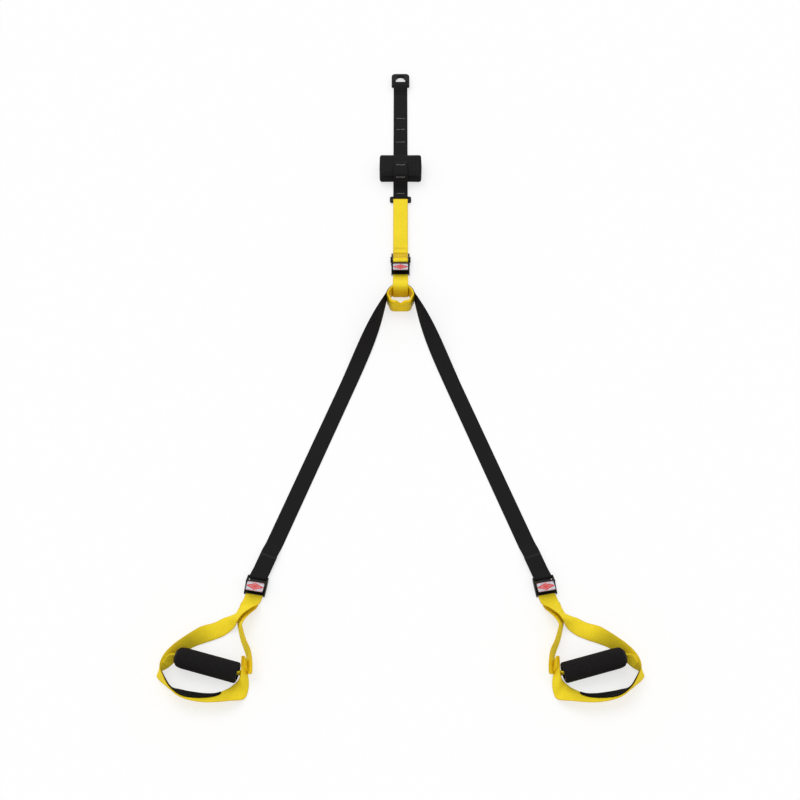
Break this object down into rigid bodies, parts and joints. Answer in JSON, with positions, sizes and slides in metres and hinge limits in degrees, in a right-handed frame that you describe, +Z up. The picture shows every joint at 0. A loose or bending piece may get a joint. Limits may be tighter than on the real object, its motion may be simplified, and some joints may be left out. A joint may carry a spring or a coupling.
{
  "type": "suspension trainer",
  "caption": "Suspension trainer of black and yellow webbing: a door pad and ring at the top, cam buckles, a yoke, and foam grips with foot cradles at the ends.",
  "frame": {"origin": "middle of the trainer's bounding box on the surface that it lies on", "axes": "+Y along the trainer towards the anchor ring, +Z up from the surface, +X towards the right handle as pictured"},
  "size_m": [1.0248, 1.7809, 0.0492],
  "materials": {
    "anchor_strap": "woven",
    "door_pad": "woven",
    "anchor_ring": "satin",
    "link_ring": "satin",
    "upper_strap": "woven",
    "upper_buckle_frame": "satin",
    "upper_cam_pin": "ground",
    "upper_cam_spring": "drawn",
    "upper_buckle_cam": "satin",
    "upper_face_plate": "satin",
    "equaliser_strap": "woven",
    "yoke": "moulded",
    "saddle_strap": "woven",
    "leg_strap_left": "woven",
    "left_buckle_frame": "satin",
    "left_cam_pin": "ground",
    "left_cam_spring": "drawn",
    "left_buckle_cam": "satin",
    "left_face_plate": "satin",
    "handle_strap_left": "woven",
    "inner_leg_left": "woven",
    "cradle_lining_left": "woven",
    "grip_webbing_left": "woven",
    "grip_foam_left": "foam",
    "grip_tube_left": "moulded",
    "leg_strap_right": "woven",
    "right_buckle_frame": "satin",
    "right_cam_pin": "ground",
    "right_cam_spring": "drawn",
    "right_buckle_cam": "satin",
    "right_face_plate": "satin",
    "handle_strap_right": "woven",
    "inner_leg_right": "woven",
    "cradle_lining_right": "woven",
    "grip_webbing_right": "woven",
    "grip_foam_right": "foam",
    "grip_tube_right": "moulded"
  },
  "bodies": {
    "anchor": {"anchor_strap": "anchor_strap", "door_pad": "door_pad"},
    "anchor_ring": {"anchor_ring": "anchor_ring"},
    "link": {"link_ring": "link_ring"},
    "upper": {"upper_strap": "upper_strap"},
    "upper_buckle": {"upper_buckle_frame": "upper_buckle_frame", "upper_cam_pin": "upper_cam_pin", "upper_cam_spring": "upper_cam_spring"},
    "upper_cam": {"upper_buckle_cam": "upper_buckle_cam", "upper_face_plate": "upper_face_plate"},
    "equaliser": {"equaliser_strap": "equaliser_strap"},
    "yoke": {"yoke": "yoke", "saddle_strap": "saddle_strap"},
    "leg_left": {"leg_strap_left": "leg_strap_left"},
    "buckle_left": {"left_buckle_frame": "left_buckle_frame", "left_cam_pin": "left_cam_pin", "left_cam_spring": "left_cam_spring"},
    "cam_left": {"left_buckle_cam": "left_buckle_cam", "left_face_plate": "left_face_plate"},
    "handle_left": {"handle_strap_left": "handle_strap_left", "inner_leg_left": "inner_leg_left", "cradle_lining_left": "cradle_lining_left", "grip_webbing_left": "grip_webbing_left"},
    "grip_left": {"grip_foam_left": "grip_foam_left", "grip_tube_left": "grip_tube_left"},
    "leg_right": {"leg_strap_right": "leg_strap_right"},
    "buckle_right": {"right_buckle_frame": "right_buckle_frame", "right_cam_pin": "right_cam_pin", "right_cam_spring": "right_cam_spring"},
    "cam_right": {"right_buckle_cam": "right_buckle_cam", "right_face_plate": "right_face_plate"},
    "handle_right": {"handle_strap_right": "handle_strap_right", "inner_leg_right": "inner_leg_right", "cradle_lining_right": "cradle_lining_right", "grip_webbing_right": "grip_webbing_right"},
    "grip_right": {"grip_foam_right": "grip_foam_right", "grip_tube_right": "grip_tube_right"}
  },
  "joints": [
    {"name": "anchor_ring_swing", "type": "hinge", "parent": "anchor", "child": "anchor_ring", "pos_m": [0, 0.8494, 0.0078], "axis": [1, 0, 0], "range_deg": [-100, 100]},
    {"name": "link_ring_swing", "type": "hinge", "parent": "anchor", "child": "link", "pos_m": [0, 0.4544, 0.0049], "axis": [1, 0, 0], "range_deg": [-75, 75]},
    {"name": "upper_strap_swing", "type": "hinge", "parent": "link", "child": "upper", "pos_m": [0, 0.4396, 0.0049], "axis": [1, 0, 0], "range_deg": [-75, 75]},
    {"name": "upper_buckle_lift", "type": "hinge", "parent": "upper", "child": "upper_buckle", "pos_m": [0, 0.2446, 0.0089], "axis": [-1, 0, 0], "range_deg": [0, 60]},
    {"name": "upper_cam_press", "type": "hinge", "parent": "upper_buckle", "child": "upper_cam", "pos_m": [0, 0.2331, 0.0111], "axis": [1, 0, 0], "range_deg": [0, 20]},
    {"name": "equaliser_adjust", "type": "slide", "parent": "upper_buckle", "child": "equaliser", "axis": [0, -1, 0], "range_m": [0, 0.11]},
    {"name": "yoke_see_saw", "type": "hinge", "parent": "equaliser", "child": "yoke", "pos_m": [0, 0.1188, 0.0023], "axis": [0, 0, 1], "range_deg": [-15, 15]},
    {"name": "leg_spread_left", "type": "hinge", "parent": "yoke", "child": "leg_left", "pos_m": [-0.03257, 0.13104, 0.0233], "axis": [0, 0, 1], "range_deg": [-45, 3]},
    {"name": "buckle_lift_left", "type": "hinge", "parent": "leg_left", "child": "buckle_left", "pos_m": [-0.31099, -0.60966, 0.0089], "axis": [-0.9848, 0.1736, 0], "range_deg": [0, 60]},
    {"name": "cam_press_left", "type": "hinge", "parent": "buckle_left", "child": "cam_left", "pos_m": [-0.31298, -0.62099, 0.0111], "axis": [0.9848, -0.1736, 0], "range_deg": [0, 20]},
    {"name": "handle_adjust_left", "type": "slide", "parent": "buckle_left", "child": "handle_left", "axis": [-0.1736, -0.9848, 0], "range_m": [0, 0.02]},
    {"name": "grip_turn_left", "type": "hinge", "parent": "handle_left", "child": "grip_left", "pos_m": [-0.46914, -0.79205, 0.02736], "axis": [0.9658, -0.2566, -0.0371], "continuous": true},
    {"name": "leg_spread_right", "type": "hinge", "parent": "yoke", "child": "leg_right", "pos_m": [0.03257, 0.13104, 0.0233], "axis": [0, 0, 1], "range_deg": [-3, 45]},
    {"name": "buckle_lift_right", "type": "hinge", "parent": "leg_right", "child": "buckle_right", "pos_m": [0.31099, -0.60966, 0.0089], "axis": [-0.9848, -0.1736, 0], "range_deg": [0, 60]},
    {"name": "cam_press_right", "type": "hinge", "parent": "buckle_right", "child": "cam_right", "pos_m": [0.31298, -0.62099, 0.0111], "axis": [0.9848, 0.1736, 0], "range_deg": [0, 20]},
    {"name": "handle_adjust_right", "type": "slide", "parent": "buckle_right", "child": "handle_right", "axis": [0.1736, -0.9848, 0], "range_m": [0, 0.02]},
    {"name": "grip_turn_right", "type": "hinge", "parent": "handle_right", "child": "grip_right", "pos_m": [0.46914, -0.79205, 0.02736], "axis": [-0.9658, -0.2566, -0.0371], "continuous": true}
  ]
}
